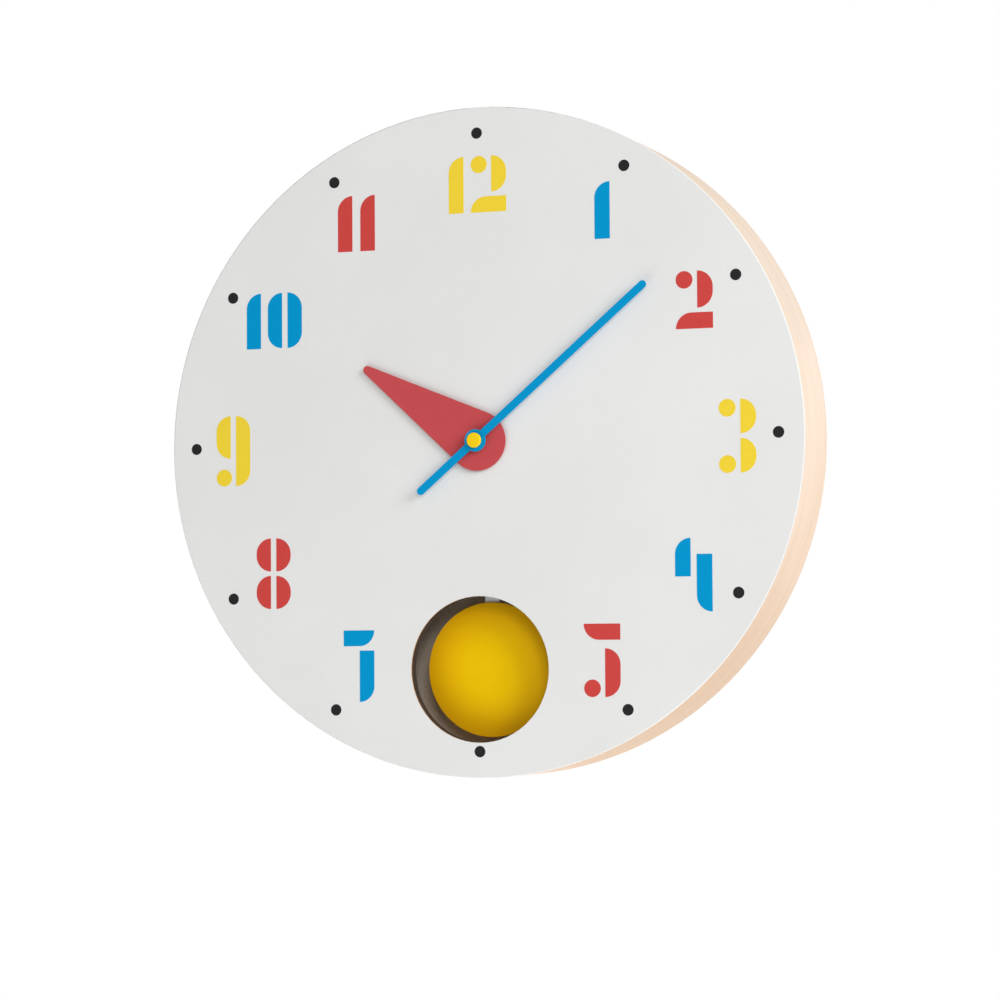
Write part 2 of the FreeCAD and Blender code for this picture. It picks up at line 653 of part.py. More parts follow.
def setting_knob():
    """Knob pressed on the motion wheel's arbor behind the movement, with grip grooves round its side."""
    x, z = MOTION_AXIS
    knob = disc(KNOB_RADIUS, KNOB_FRONT, KNOB_REAR, x, z)
    rim = [edge for edge in knob.Edges if abs(edge.BoundBox.YMin - KNOB_REAR) < 0.01]
    knob = knob.makeChamfer(KNOB_CHAMFER, [rim[0]])
    for grip in range(GRIPS):
        gx, gz = stepped(MOTION_AXIS, GRIP_CIRCLE, grip * 360 / GRIPS)
        knob = knob.cut(disc(GRIP_RADIUS, KNOB_FRONT - 1, KNOB_REAR + 1, gx, gz))
    return knob.cut(disc(KNOB_ARBOR_RADIUS, KNOB_FRONT - 1, KNOB_ARBOR_END, x, z))


# ---------------------------------------------------------------- hands


def hour_hand():
    """Drop shape: a big circle on the axis and a small one at the tip, joined by their common tangents."""
    lean = math.asin((HOUR_BIG_RADIUS - HOUR_TIP_RADIUS) / HOUR_TIP_REACH)
    side, up = math.cos(lean), math.sin(lean)

    def tangent(radius, centre, sign):
        return vec(sign * radius * side, 0, centre + radius * up)

    big_right, tip_right = tangent(HOUR_BIG_RADIUS, 0, 1), tangent(HOUR_TIP_RADIUS, HOUR_TIP_REACH, 1)
    big_left, tip_left = tangent(HOUR_BIG_RADIUS, 0, -1), tangent(HOUR_TIP_RADIUS, HOUR_TIP_REACH, -1)
    tip = vec(0, 0, HOUR_TIP_REACH + HOUR_TIP_RADIUS)
    edges = [Part.LineSegment(big_right, tip_right).toShape(),
             Part.Arc(tip_right, tip, tip_left).toShape(),
             Part.LineSegment(tip_left, big_left).toShape(),
             Part.Arc(big_left, vec(0, 0, -HOUR_BIG_RADIUS), big_right).toShape()]
    hand = prism(Part.Wire(edges), HOUR_FRONT, HOUR_FRONT + HAND_THICKNESS)
    hand = hand.cut(disc(HOUR_TUBE_RADIUS, HOUR_FRONT - 1, HOUR_FRONT + 1))
    return clockwise(hand, HOUR_ANGLE)


def minute_hand():
    rear = MINUTE_FRONT + HAND_THICKNESS
    bar = slot_prism(MINUTE_HALF_WIDTH, -MINUTE_TAIL + MINUTE_HALF_WIDTH,
                     MINUTE_REACH - MINUTE_HALF_WIDTH, MINUTE_FRONT, rear)
    hand = joined(bar, disc(MINUTE_HUB_RADIUS, MINUTE_FRONT, rear))
    hand = hand.cut(disc(MINUTE_THREAD_RADIUS, MINUTE_FRONT - 1, rear + 1))
    return clockwise(hand, MINUTE_ANGLE)


def cap_nut():
    """Nut with a round head on a narrower neck, which clamps the minute hand."""
    head = disc(CAP_RADIUS, CAP_FRONT, CAP_FRONT + CAP_RIM)
    rim = [edge for edge in head.Edges if abs(edge.BoundBox.YMax - CAP_FRONT) < 0.01]
    head = head.makeFillet(CAP_ROUND, [rim[0]])
    cap = joined(head, disc(CAP_NECK_RADIUS, CAP_FRONT + CAP_RIM, MINUTE_FRONT))
    return cap.cut(disc(MINUTE_THREAD_RADIUS, CAP_FRONT + CAP_TOP, MINUTE_FRONT + 1))


# ---------------------------------------------------------------- movement case

BATTERY_RADIUS = 7.1
BATTERY_Z = -19.8
BATTERY_Y = MOVEMENT_REAR - BATTERY_RADIUS
BATTERY_LENGTH = 49.5
BATTERY_NUB = 1.0
BATTERY_LEFT = -25.0
INNER_HALF = MOVEMENT_HALF - MOVEMENT_WALL
GEAR_ROOM_BOTTOM = -11.8
BATTERY_ROOM = (-26.95, -12.65)
HOUSING_INNER = HOUSING_HALF - MOVEMENT_WALL
HOUSING_ROOM = (HOUSING_BOTTOM + MOVEMENT_WALL, -MOVEMENT_HALF - 0.2)
ARM_SLOT_HALF = 13.0
ARM_SLOT_FRONT = -25.4
CORNER = 2.0
BOSS_RADIUS = 1.1
CENTRE_BOSS_RADIUS = 1.6
FRONT_END_PLAY = 0.3         # room past the ends of the arbors
REAR_END_PLAY = 0.2
CASE_SCREW_POSTS = ((-25.0, 25.0), (25.0, 25.0), (-14.2, -59.2), (14.2, -59.2))
CASE_POST_RADIUS = 2.2
CASE_SCREW_RADIUS = 0.9
CASE_SCREW_LENGTH = 7.0
CASE_SCREW_HEAD_RADIUS = 1.9
CASE_SCREW_HEAD_HEIGHT = 1.1
PIVOT_PIN_RADIUS = 1.0
PIVOT_PIN_FRONT = MOVEMENT_FRONT + 0.6
PIVOT_PIN_REAR = COVER_Y - 0.1
PIVOT_SOCKET_RADIUS = 2.2
PIVOT_SOCKET_DEPTH = 1.4
TRAIN_AXES = (THIRD_AXIS, SECONDS_AXIS, INTER_AXIS, ROTOR_AXIS)
FRONT_BOSS_ENDS = (-27.4, -25.4, -23.6, -26.0)
REAR_BOSS_FRONT = -19.3
BOARD_POSTS = ((-24.0, -9.0), (-24.0, 5.0))
BOARD_POST_RADIUS = 1.2
CIRCUIT_FRONT = -20.8
CIRCUIT_THICKNESS = 1.0


def movement_outline(front, rear):
    body = block((-MOVEMENT_HALF, MOVEMENT_HALF), (front, rear), (-MOVEMENT_HALF, MOVEMENT_HALF))
    body = body.makeFillet(CORNER, [e for e in body.Edges if abs(e.BoundBox.YLength - rear + front) < 0.01])
    housing = block((-HOUSING_HALF, HOUSING_HALF), (front, rear), (HOUSING_BOTTOM, -MOVEMENT_HALF + 1))
    lower = [e for e in housing.Edges if e.BoundBox.ZMax < HOUSING_BOTTOM + 0.01
             and abs(e.BoundBox.YLength - rear + front) < 0.01]
    return joined(body, housing.makeFillet(CORNER, lower))


def movement_front_shell():
    """Open-backed tray with rooms for the gears, the battery and the pendulum drive, and a threaded bush."""
    shell = movement_outline(MOVEMENT_FRONT, COVER_Y)
    rooms = (((-INNER_HALF, INNER_HALF), (GEAR_ROOM_BOTTOM, INNER_HALF)),
             ((-INNER_HALF, INNER_HALF), BATTERY_ROOM),
             ((-HOUSING_INNER, HOUSING_INNER), HOUSING_ROOM))
    for x_range, z_range in rooms:
        shell = shell.cut(block(x_range, (FLOOR_Y, COVER_Y + 1), z_range))
    shell = shell.cut(block((-ARM_SLOT_HALF, ARM_SLOT_HALF), (ARM_SLOT_FRONT, COVER_Y + 1),
                            (HOUSING_BOTTOM - 1, HOUSING_BOTTOM + MOVEMENT_WALL + 1)))
    posts = [disc(CASE_POST_RADIUS, FLOOR_Y, COVER_Y, x, z) for x, z in CASE_SCREW_POSTS]
    bosses = [disc(BOSS_RADIUS, FLOOR_Y, end, *axis) for axis, end in zip(TRAIN_AXES, FRONT_BOSS_ENDS)]
    bush = disc(BUSH_RADIUS, BUSH_FRONT, FLOOR_Y)
    shell = joined(shell, bush, *posts, *bosses)
    shell = shell.cut(disc(HOUR_TUBE_RADIUS + RUNNING, BUSH_FRONT - 1, FLOOR_Y + 1))
    for axis in TRAIN_AXES:
        shell = shell.cut(disc(ARBOR_RADIUS + RUNNING, ARBOR_FRONT - FRONT_END_PLAY, COVER_Y, *axis))
    for x, z in CASE_SCREW_POSTS:
        shell = shell.cut(disc(CASE_SCREW_RADIUS, COVER_Y - CASE_SCREW_LENGTH, COVER_Y + 1, x, z))
    shell = shell.cut(disc(FRONT_PIVOT_RADIUS + RUNNING, MOTION_PIVOT_FRONT - 0.1, FLOOR_Y + 1, *MOTION_AXIS))
    return shell.cut(disc(PIVOT_PIN_RADIUS, PIVOT_PIN_FRONT, FLOOR_Y + 1, 0, PIVOT_Z))


def movement_rear_cover():
    """Flat cover with bearings for the arbors, posts for the circuit board and an opening over the battery."""
    cover = movement_outline(COVER_Y, MOVEMENT_REAR)
    cover = cover.cut(block((-INNER_HALF, INNER_HALF), (COVER_Y - 1, MOVEMENT_REAR + 1), BATTERY_ROOM))
    bosses = [disc(BOSS_RADIUS, REAR_BOSS_FRONT, COVER_Y, *axis) for axis in TRAIN_AXES]
    bosses.append(disc(CENTRE_BOSS_RADIUS, REAR_BOSS_FRONT, COVER_Y))
    posts = [disc(BOARD_POST_RADIUS, CIRCUIT_FRONT + CIRCUIT_THICKNESS, COVER_Y, x, z)
             for x, z in BOARD_POSTS]
    socket = disc(PIVOT_SOCKET_RADIUS, COVER_Y - PIVOT_SOCKET_DEPTH, COVER_Y, 0, PIVOT_Z)
    cover = joined(cover, socket, *bosses, *posts)
    for axis in TRAIN_AXES:
        cover = cover.cut(disc(ARBOR_RADIUS + RUNNING, REAR_BOSS_FRONT - 1, ARBOR_REAR + REAR_END_PLAY, *axis))
    cover = cover.cut(disc(MINUTE_PIVOT_RADIUS + RUNNING, REAR_BOSS_FRONT - 1, ARBOR_REAR + REAR_END_PLAY))
    cover = cover.cut(disc(KNOB_ARBOR_RADIUS + RUNNING, COVER_Y - 1, MOVEMENT_REAR + 1, *MOTION_AXIS))
    cover = cover.cut(disc(PIVOT_PIN_RADIUS, COVER_Y - 2, PIVOT_PIN_REAR, 0, PIVOT_Z))
    for x, z in CASE_SCREW_POSTS:
        cover = cover.cut(disc(CASE_SCREW_RADIUS, COVER_Y - 1, MOVEMENT_REAR + 1, x, z))
    return cover


def movement_screws():
    return [pan_screw(CASE_SCREW_HEAD_RADIUS, CASE_SCREW_HEAD_HEIGHT, CASE_SCREW_RADIUS, CASE_SCREW_LENGTH,
                      x, MOVEMENT_REAR, z) for x, z in CASE_SCREW_POSTS]


NUT_CORNER_RADIUS = 6.9      # from the nut's middle to a corner of its hexagon
NUT_HEIGHT = 1.8
BUSH_WASHER_RADIUS = 8.0
BUSH_WASHER_THICKNESS = 0.5
RUBBER_WASHER_RADIUS = 11.0
WASHER_HOLE_RADIUS = 4.1
NUT_SEAT = FACE_Y + COUNTERBORE_DEPTH           # bottom of the counterbore
NUT_REAR = NUT_SEAT - BUSH_WASHER_THICKNESS


def bush_nut():
    angles = [math.radians(turn) for turn in range(0, 420, 60)]
    corners = [vec(NUT_CORNER_RADIUS * math.cos(a), 0, NUT_CORNER_RADIUS * math.sin(a)) for a in angles]
    nut = prism(Part.makePolygon(corners), NUT_REAR - NUT_HEIGHT, NUT_REAR)
    return nut.cut(disc(BUSH_RADIUS, NUT_REAR - NUT_HEIGHT - 1, NUT_REAR + 1))


def bush_washer():
    return ring(BUSH_WASHER_RADIUS, WASHER_HOLE_RADIUS, NUT_REAR, NUT_SEAT)


def rubber_washer():
    return ring(RUBBER_WASHER_RADIUS, WASHER_HOLE_RADIUS, BOARD_REAR, MOVEMENT_FRONT)


# ---------------------------------------------------------------- electrics

STATOR = (-24.1, -23.3)
STATOR_HALF_WIDTH = 4.6
STATOR_BOTTOM = -11.2
STATOR_TOP_MARGIN = 4.8
COIL_RANGE = (-8.4, 2.2)
COIL_RADIUS = 2.5
CORE_HALF_WIDTH = 0.8
STATOR_WINDOW_HALF = 3.2
NOTCH_HALF_WIDTH = 0.3       # two notches in the hole, which give the rotor its resting places
NOTCH_REACH = 4.0
ROTOR_GAP = 0.5              # between the rotor's magnet and the stator
BOBBIN_FLANGE = 0.6
BOBBIN_FLANGE_RADIUS = 2.8
BOBBIN_RADIUS = 1.2


def motor_stator():
    """Steel plate round the rotor; its lower half frames the coil, whose core it carries."""
    x, z = ROTOR_AXIS
    plate = block((x - STATOR_HALF_WIDTH, x + STATOR_HALF_WIDTH), STATOR, (STATOR_BOTTOM, z + STATOR_TOP_MARGIN))
    window = block((x - STATOR_WINDOW_HALF, x + STATOR_WINDOW_HALF), (STATOR[0] - 1, STATOR[1] + 1), COIL_RANGE)
    core = block((x - CORE_HALF_WIDTH, x + CORE_HALF_WIDTH), STATOR, COIL_RANGE)
    hole = disc(ROTOR_MAGNET_RADIUS + ROTOR_GAP, STATOR[0] - 1, STATOR[1] + 1, x, z)
    notches = block((x - NOTCH_HALF_WIDTH, x + NOTCH_HALF_WIDTH), (STATOR[0] - 1, STATOR[1] + 1),
                    (z - NOTCH_REACH, z + NOTCH_REACH))
    return joined(plate.cut(window), core).cut(hole).cut(notches)


def coil_parts():
    """Bobbin with two flanges, and the winding between them, round the stator's core."""
    x, y = ROTOR_AXIS[0], (STATOR[0] + STATOR[1]) / 2
    low, high = COIL_RANGE

    def upright(radius, z_low, z_high):
        return Part.makeCylinder(radius, z_high - z_low, vec(x, y, z_low), vec(0, 0, 1))

    core_hole = block((x - CORE_HALF_WIDTH, x + CORE_HALF_WIDTH), STATOR, COIL_RANGE)
    inner = (low + BOBBIN_FLANGE, high - BOBBIN_FLANGE)
    bobbin = joined(upright(BOBBIN_RADIUS, low, high), upright(BOBBIN_FLANGE_RADIUS, low, inner[0]),
                    upright(BOBBIN_FLANGE_RADIUS, inner[1], high)).cut(core_hole)
    winding = upright(COIL_RADIUS, *inner).cut(upright(BOBBIN_RADIUS, *inner))
    return bobbin, winding


CIRCUIT_X = (-26.3, -12.6)
CIRCUIT_Z = (-11.3, 7.4)
CRYSTAL_RADIUS = 0.95
CRYSTAL_LENGTH = 6.0
CRYSTAL_PLACE = (-23.5, -8.5)                   # left end of the crystal, on the board's front
CHIP_RADIUS = 2.6
CHIP_HEIGHT = 1.1
CHIP_ROUND = 0.8
CHIP_PLACE = (-19.0, 1.0)
CELL_ROUND = 0.5
NUB_RADIUS = 2.7
CONTACT_HALF = 4.5
CONTACT_THICKNESS = 0.4
SPRING_RADII = (3.6, 2.9, 2.2)                  # turns of the sprung contact, from its plate outwards
SPRING_PITCH = 0.45
SPRING_THICKNESS = 0.5
SPRING_WIDTH = 0.9
OVERLAP = 0.02               # lets touching solids join


def circuit_board():
    return block(CIRCUIT_X, (CIRCUIT_FRONT, CIRCUIT_FRONT + CIRCUIT_THICKNESS), CIRCUIT_Z)


def quartz_crystal():
    x, z = CRYSTAL_PLACE
    start = vec(x, CIRCUIT_FRONT - CRYSTAL_RADIUS, z)
    return Part.makeCylinder(CRYSTAL_RADIUS, CRYSTAL_LENGTH, start, vec(1, 0, 0))


def driver_chip():
    front = CIRCUIT_FRONT - CHIP_HEIGHT
    chip = disc(CHIP_RADIUS, front, CIRCUIT_FRONT, *CHIP_PLACE)
    rim = [edge for edge in chip.Edges if abs(edge.BoundBox.YMax - front) < 0.01]
    return chip.makeFillet(CHIP_ROUND, [rim[0]])


def battery():
    """Size AA cell, its positive end to the right."""
    def along(radius, start, length):
        return Part.makeCylinder(radius, length, vec(start, BATTERY_Y, BATTERY_Z), vec(1, 0, 0))

    can = along(BATTERY_RADIUS, BATTERY_LEFT, BATTERY_LENGTH)
    can = can.makeFillet(CELL_ROUND, [e for e in can.Edges if e.BoundBox.XLength < 0.01])
    return joined(can, along(NUB_RADIUS, BATTERY_LEFT + BATTERY_LENGTH - CELL_ROUND, BATTERY_NUB + CELL_ROUND))


def contact_plates():
    """Positive plate at the right and sprung negative plate at the left of the battery room."""
    y_range = (BATTERY_Y - CONTACT_HALF, BATTERY_Y + CONTACT_HALF)
    z_range = (BATTERY_Z - CONTACT_HALF, BATTERY_Z + CONTACT_HALF)
    positive_face = BATTERY_LEFT + BATTERY_LENGTH + BATTERY_NUB
    positive = block((positive_face, positive_face + CONTACT_THICKNESS), y_range, z_range)
    plate = block((-INNER_HALF, -INNER_HALF + CONTACT_THICKNESS), y_range, z_range)

    def level(radius, start, length):
        return Part.makeCylinder(radius, length, vec(start, BATTERY_Y, BATTERY_Z), vec(1, 0, 0))

    turns = []
    for index, radius in enumerate(SPRING_RADII):
        start = -INNER_HALF + CONTACT_THICKNESS + index * SPRING_PITCH - OVERLAP
        turns.append(level(radius, start, SPRING_THICKNESS).cut(level(radius - SPRING_WIDTH, start - 1, 2)))
    return positive, joined(plate, *turns)


# ---------------------------------------------------------------- pendulum

ARM_HALF_WIDTH = 3.5
ARM_FRONT = -24.6
ARM_REAR = -22.0
HUB_RADIUS = 3.5
HUB_FRONT = -26.5
HUB_REAR = -19.4
DRIVE_Z = -50.0              # coil and magnet that keep the pendulum swinging
DRIVE_COIL = (FLOOR_Y, -27.9)
DRIVE_MAGNET = (-26.7, ARM_FRONT)
DRIVE_COIL_RADIUS = 7.0
DRIVE_COIL_HOLE = 2.0
DRIVE_MAGNET_RADIUS = 4.0
ARM_BOTTOM = -64.5
PEG_RADIUS = 1.2
PEG_HEAD_RADIUS = 1.8
PEG_HEAD = (-19.9, -19.2)
PEG_CLEARANCE = 0.1
ROD_BOTTOM = -112.0
CLIP_HALF = (11.0, 6.0)
CLIP_THICKNESS = 0.8
CLIP_CORNER = 3.0
RIVET_X = 7.5
RIVET_RADIUS = 1.0
RIVET_DEPTH = 1.6            # into the bob
RIVET_HEAD_RADIUS = 1.9
RIVET_HEAD_HEIGHT = 0.8
EDGE_ROUND = 0.5             # rear edge of the bob, and the rivets' heads


def pivot_pin():
    return disc(PIVOT_PIN_RADIUS, PIVOT_PIN_FRONT, PIVOT_PIN_REAR, 0, PIVOT_Z)


def pendulum_coil():
    return ring(DRIVE_COIL_RADIUS, DRIVE_COIL_HOLE, DRIVE_COIL[0], DRIVE_COIL[1], 0, DRIVE_Z)


def pendulum_arm():
    """Arm that swings on the pivot pin. A headed peg behind its lower end carries the rod."""
    bar = slot_prism(ARM_HALF_WIDTH, ARM_BOTTOM, PIVOT_Z, ARM_FRONT, ARM_REAR)
    hub = disc(HUB_RADIUS, HUB_FRONT, HUB_REAR, 0, PIVOT_Z)
    peg = disc(PEG_RADIUS, ARM_REAR, PEG_HEAD[0], 0, HOOK_Z)
    head = disc(PEG_HEAD_RADIUS, PEG_HEAD[0], PEG_HEAD[1], 0, HOOK_Z)
    arm = joined(bar, hub, peg, head)
    return arm.cut(disc(PIVOT_PIN_RADIUS + RUNNING, HUB_FRONT - 1, HUB_REAR + 1, 0, PIVOT_Z))


def arm_magnet():
    return disc(DRIVE_MAGNET_RADIUS, DRIVE_MAGNET[0], DRIVE_MAGNET[1], 0, DRIVE_Z)


def pendulum_rod():
    bar = slot_prism(ROD_HALF_WIDTH, ROD_BOTTOM, HOOK_Z, ROD_FRONT, BOB_BACK)
    return bar.cut(disc(PEG_RADIUS + PEG_CLEARANCE, ROD_FRONT - 1, BOB_BACK + 1, 0, HOOK_Z))


def pendulum_bob():
    """Disc with a slightly crowned front, and a groove for the rod in its back."""
    sphere_radius = (BOB_RADIUS ** 2 + BOB_CROWN ** 2) / (2 * BOB_CROWN)
    top = BOB_FRONT - BOB_CROWN
    bob = disc(BOB_RADIUS, top - 1, BOB_BACK).common(Part.makeSphere(sphere_radius, vec(0, top + sphere_radius, 0)))
    bob = bob.Solids[0]
    rim = [e for e in bob.Edges if abs(e.BoundBox.YMin - BOB_BACK) < 0.01 and e.BoundBox.XLength > BOB_RADIUS]
    bob = bob.makeFillet(EDGE_ROUND, [rim[0]])
    bob.translate(vec(0, 0, BOB_Z))
    groove = slot_prism(ROD_HALF_WIDTH, ROD_BOTTOM, HOOK_Z, ROD_FRONT, BOB_BACK + 1)
    bob = bob.cut(groove)
    for x in (-RIVET_X, RIVET_X):
        bob = bob.cut(disc(RIVET_RADIUS, BOB_BACK - RIVET_DEPTH, BOB_BACK + 1, x, BOB_Z))
    return bob


def bob_clip():
    clip = block((-CLIP_HALF[0], CLIP_HALF[0]), (BOB_BACK, BOB_BACK + CLIP_THICKNESS),
                 (BOB_Z - CLIP_HALF[1], BOB_Z + CLIP_HALF[1]))
    corners = [e for e in clip.Edges if abs(e.BoundBox.YLength - CLIP_THICKNESS) < 0.01]
    clip = clip.makeFillet(CLIP_CORNER, corners)
    for x in (-RIVET_X, RIVET_X):
        clip = clip.cut(disc(RIVET_RADIUS, BOB_BACK - 1, BOB_BACK + 2, x, BOB_Z))
    return clip


def bob_rivets():
    rivets = []
    head_face = BOB_BACK + CLIP_THICKNESS
    for x in (-RIVET_X, RIVET_X):
        head = disc(RIVET_HEAD_RADIUS, head_face, head_face + RIVET_HEAD_HEIGHT, x, BOB_Z)
        rim = [e for e in head.Edges if abs(e.BoundBox.YMin - head_face - RIVET_HEAD_HEIGHT) < 0.01]
        shank = disc(RIVET_RADIUS, BOB_BACK - RIVET_DEPTH, head_face, x, BOB_Z)
        rivets.append(joined(head.makeFillet(EDGE_ROUND, [rim[0]]), shank))
    return rivets


# ---------------------------------------------------------------- files


def main():
    os.makedirs("parts", exist_ok=True)
    for piece in (face_sheet, dial_board, case_ring, back_panel, hanger_plate, movement_front_shell,
                  movement_rear_cover, bush_nut, bush_washer, rubber_washer, motor_stator, circuit_board,
                  quartz_crystal, driver_chip, battery, pivot_pin, pendulum_coil, hour_wheel, hour_hand,
                  minute_arbor, centre_wheel, minute_hand, cap_nut, motion_wheel, setting_knob, third_wheel,
                  seconds_wheel, intermediate_wheel, rotor_pinion, rotor_magnet, pendulum_arm, arm_magnet,
                  pendulum_rod, pendulum_bob, bob_clip):
        save(piece.__name__, piece())
    for group in (glue_blocks, back_panel_screws, hanger_screws, movement_screws, bob_rivets):
        save(group.__name__, *group())
    for ink in ("yellow", "blue", "red"):
        save("print_" + ink, *print_in(ink))
    save("print_black", *hour_dots())
    bobbin, winding = coil_parts()
    save("coil_bobbin", bobbin)
    save("motor_coil", winding)
    positive, negative = contact_plates()
    save("contact_positive", positive)
    save("contact_negative", negative)


main()
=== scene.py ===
"""Looks of the pendulum wall clock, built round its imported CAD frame. Metres, in the frame of the CAD."""

import bmesh
import bpy
import json
import math
from mathutils import Matrix, Vector


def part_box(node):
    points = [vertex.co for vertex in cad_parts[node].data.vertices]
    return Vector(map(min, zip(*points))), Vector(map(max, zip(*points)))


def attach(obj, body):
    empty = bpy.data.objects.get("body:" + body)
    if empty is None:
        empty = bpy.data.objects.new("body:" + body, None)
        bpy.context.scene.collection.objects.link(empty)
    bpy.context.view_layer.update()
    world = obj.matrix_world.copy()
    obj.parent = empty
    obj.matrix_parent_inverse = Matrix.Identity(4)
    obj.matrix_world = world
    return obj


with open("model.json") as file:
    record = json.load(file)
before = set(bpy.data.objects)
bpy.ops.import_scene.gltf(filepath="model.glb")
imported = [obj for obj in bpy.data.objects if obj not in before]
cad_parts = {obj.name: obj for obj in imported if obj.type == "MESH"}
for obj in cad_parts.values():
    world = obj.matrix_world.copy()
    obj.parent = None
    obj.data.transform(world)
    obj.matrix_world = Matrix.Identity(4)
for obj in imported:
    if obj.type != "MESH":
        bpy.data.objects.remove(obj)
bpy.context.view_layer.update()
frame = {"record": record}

# ---------------------------------------------------------------- places read from the frame

MM = 0.001
COVER_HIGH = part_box("movement_rear_cover")[1]
KNOB_LOW, KNOB_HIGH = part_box("setting_knob")
BATTERY_LOW, BATTERY_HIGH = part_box("battery")
OPENINGS = {opening["name"]: opening["box_m"] for opening in frame["record"]["physics"]["openings"]}
WINDOW_Z = (OPENINGS["dial_window"][0][2] + OPENINGS["dial_window"][1][2]) / 2
BOB_LOW, BOB_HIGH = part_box("pendulum_bob")
BOB_Z = (BOB_LOW.z + BOB_HIGH.z) / 2

# ---------------------------------------------------------------- sizes in the materials

WINDOW_REACH = 34 * MM       # a little more than the radius of the window
RING_TONE_HEIGHTS = (-50 * MM, 65 * MM)                 # heights between which the ring's colour goes from warmer and darker below to paler above
BOB_PAINTED_SHADE = (12 * MM, 30 * MM)                  # radii between which painted shade makes the bob's yellow deeper towards its edge
SCREEN_PITCH = 2.2 * MM      # of the wire screen printed in the back panel
WIRE_PITCH = 0.25 * MM       # of the turns on the coil
BATTERY_BAND = 14 * MM       # width of the coloured band, with the battery's end
BATTERY_ENDS = (0.5 * MM, 1.6 * MM)             # bare steel at the low end and at the high end
BAND_FADE = 0.1 * MM         # over which the jacket turns into the band
STEEL_FADE = 0.05 * MM       # over which the jacket turns into steel

# ---------------------------------------------------------------- colours


def rgb(red, green, blue):
    """Linear colour from display values of 0 to 255."""
    def linear(value):
        value /= 255
        return value / 12.92 if value <= 0.04045 else ((value + 0.055) / 1.055) ** 2.4
    return linear(red), linear(green), linear(blue), 1.0


class Finish:
    """One slot's material: a Principled shader, and short calls that add the nodes in front of it."""

    def __init__(self, slot, constants):
        self.tree = bpy.data.materials[slot].node_tree
        self.tree.nodes.clear()
        self.shader = self.add("BsdfPrincipled")
        for name, value in constants.items():
            self.shader.inputs[name].default_value = value
        output = self.add("OutputMaterial")
        self.tree.links.new(self.shader.outputs["BSDF"], output.inputs["Surface"])
        self.place = self.add("TexCoord").outputs["Object"]
        self.relief = None

    def add(self, kind, **settings):
        node = self.tree.nodes.new("ShaderNode" + kind)
        for name, value in settings.items():
            setattr(node, name, value)
        return node

    def feed(self, socket, value):
        """Links a socket, or sets a number or colour."""
        if isinstance(value, bpy.types.NodeSocket):
            self.tree.links.new(value, socket)
        else:
            socket.default_value = value

    def calc(self, operation, first, second=0.0):
        """One operation of a Math node, on sockets or numbers."""
        node = self.add("Math", operation=operation)
        self.feed(node.inputs[0], first)
        self.feed(node.inputs[1], second)
        return node.outputs[0]

    def axes(self, vector=None):
        node = self.add("SeparateXYZ")
        self.feed(node.inputs[0], vector or self.place)
        return node.outputs[0], node.outputs[1], node.outputs[2]

    def vector(self, x, y, z):
        node = self.add("CombineXYZ")
        for socket, value in zip(node.inputs, (x, y, z)):
            self.feed(socket, value)
        return node.outputs[0]

    def stretched(self, scale, turn=(0.0, 0.0, 0.0)):
        """Place in the frame, turned and then multiplied along each axis."""
        turned = self.add("Mapping")
        self.feed(turned.inputs["Vector"], self.place)
        turned.inputs["Rotation"].default_value = turn
        scaled = self.add("Mapping")
        self.feed(scaled.inputs["Vector"], turned.outputs[0])
        scaled.inputs["Scale"].default_value = scale
        return scaled.outputs[0]

    def noise(self, scale, detail=2.0, vector=None, w=None):
        """Noise of about one blotch each 1/scale metres."""
        node = self.add("TexNoise", noise_dimensions="3D" if w is None else "4D")
        self.feed(node.inputs["Vector"], vector or self.place)
        node.inputs["Scale"].default_value = scale
        node.inputs["Detail"].default_value = detail
        if w is not None:
            self.feed(node.inputs["W"], w)
        return node.outputs["Fac"]

    def cells(self, scale, feature="F1"):
        """Distance in a pattern of cells, each about 1/scale metres across."""
        node = self.add("TexVoronoi", feature=feature)
        self.feed(node.inputs["Vector"], self.place)
        node.inputs["Scale"].default_value = scale
        return node.outputs["Distance"]

    def span(self, value, low, high, to_low=0.0, to_high=1.0):
        """value from low to high, as to_low to to_high, and held at the ends."""
        node = self.add("MapRange")
        for name, number in (("Value", value), ("From Min", low), ("From Max", high),
                             ("To Min", to_low), ("To Max", to_high)):
            self.feed(node.inputs[name], number)
        return node.outputs[0]

    def mixed(self, share, first, second):
        node = self.add("Mix", data_type="RGBA")
        self.feed(node.inputs[0], share)
        self.feed(node.inputs[6], first)
        self.feed(node.inputs[7], second)
        return node.outputs[2]

    def facing_front(self):
        """1 on faces that look out of the wall or into it, 0 on walls that stand at right angles to it."""
        normal = self.add("NewGeometry").outputs["Normal"]
        return self.span(self.calc("ABSOLUTE", self.axes(normal)[1]), 0.35, 0.8)

    def radius_from(self, x, z):
        """Distance from an axis along Y through x and z."""
        px, _, pz = self.axes()
        dx = self.calc("SUBTRACT", px, x)
        dz = self.calc("SUBTRACT", pz, z)
        squares = self.calc("ADD", self.calc("MULTIPLY", dx, dx), self.calc("MULTIPLY", dz, dz))
        return self.calc("SQRT", squares)

    def paint(self, colour):
        self.feed(self.shader.inputs["Base Color"], colour)

    def rough(self, value, low, high):
        """Roughness from low to high, as a noise goes from 0.3 to 0.7."""
        self.feed(self.shader.inputs["Roughness"], self.span(value, 0.3, 0.7, low, high))

    def bump(self, height, depth):
        """Relief of the given depth in metres, added to what is there already."""
        node = self.add("Bump")
        node.inputs["Strength"].default_value = 1.0
        node.inputs["Distance"].default_value = depth
        self.feed(node.inputs["Height"], height)
        if self.relief is not None:
            self.feed(node.inputs["Normal"], self.relief)
        self.relief = node.outputs[0]
        self.feed(self.shader.inputs["Normal"], self.relief)


# ---------------------------------------------------------------- case


